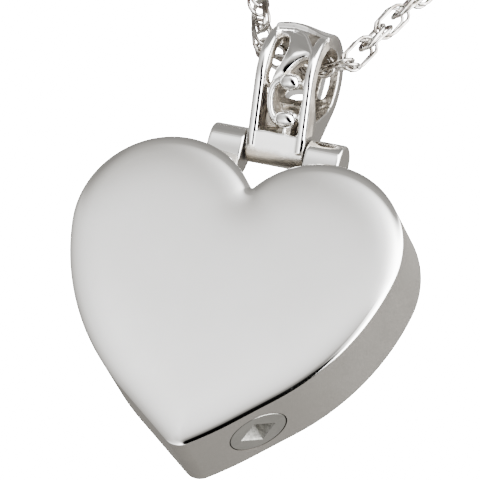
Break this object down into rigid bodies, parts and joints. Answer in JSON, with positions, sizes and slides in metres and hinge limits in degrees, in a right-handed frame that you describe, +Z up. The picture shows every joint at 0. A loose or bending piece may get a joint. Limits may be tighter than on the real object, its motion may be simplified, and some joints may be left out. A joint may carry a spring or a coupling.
{
  "type": "keepsake urn pendant on a neck chain",
  "caption": "Hollow silver heart pendant for cremation ashes with a screw plug, hinged to an openwork teardrop bail on a closed double-link neck chain.",
  "frame": {"origin": "the centre of the neck opening of the chain loop, level with the loop's upper arc", "axes": "+Z up, +X the wearer's left so that the heart's screw plug is on the +X side, and the heart's face looks towards -Y"},
  "size_m": [0.1344, 0.1008, 0.136],
  "materials": {
    "polished_silver": "polished faces, satin side wall",
    "plug_silver": "satin",
    "pin_silver": "satin",
    "cast_silver": "polished rails, satin sides, darkened recesses",
    "chain_silver": "polished"
  },
  "bodies": {
    "necklace": {"chain": "chain_silver", "clasp": "chain_silver"},
    "bail": {"bail": "cast_silver"},
    "heart": {"heart": "polished_silver", "hinge_pin": "pin_silver"},
    "plug": {"screw_plug": "plug_silver"}
  },
  "joints": [
    {"name": "bail_swing", "type": "hinge", "parent": "necklace", "child": "bail", "pos_m": [0, -0.028, -0.102], "axis": [1, 0, 0], "range_deg": [-45, 45]},
    {"name": "heart_hinge", "type": "hinge", "parent": "bail", "child": "heart", "pos_m": [0, -0.0277, -0.10761], "axis": [1, 0, 0], "range_deg": [-70, 85]},
    {"name": "plug_out", "type": "slide", "parent": "heart", "child": "plug", "axis": [0.6667, 0, -0.7453], "range_m": [0, 0.004]}
  ]
}
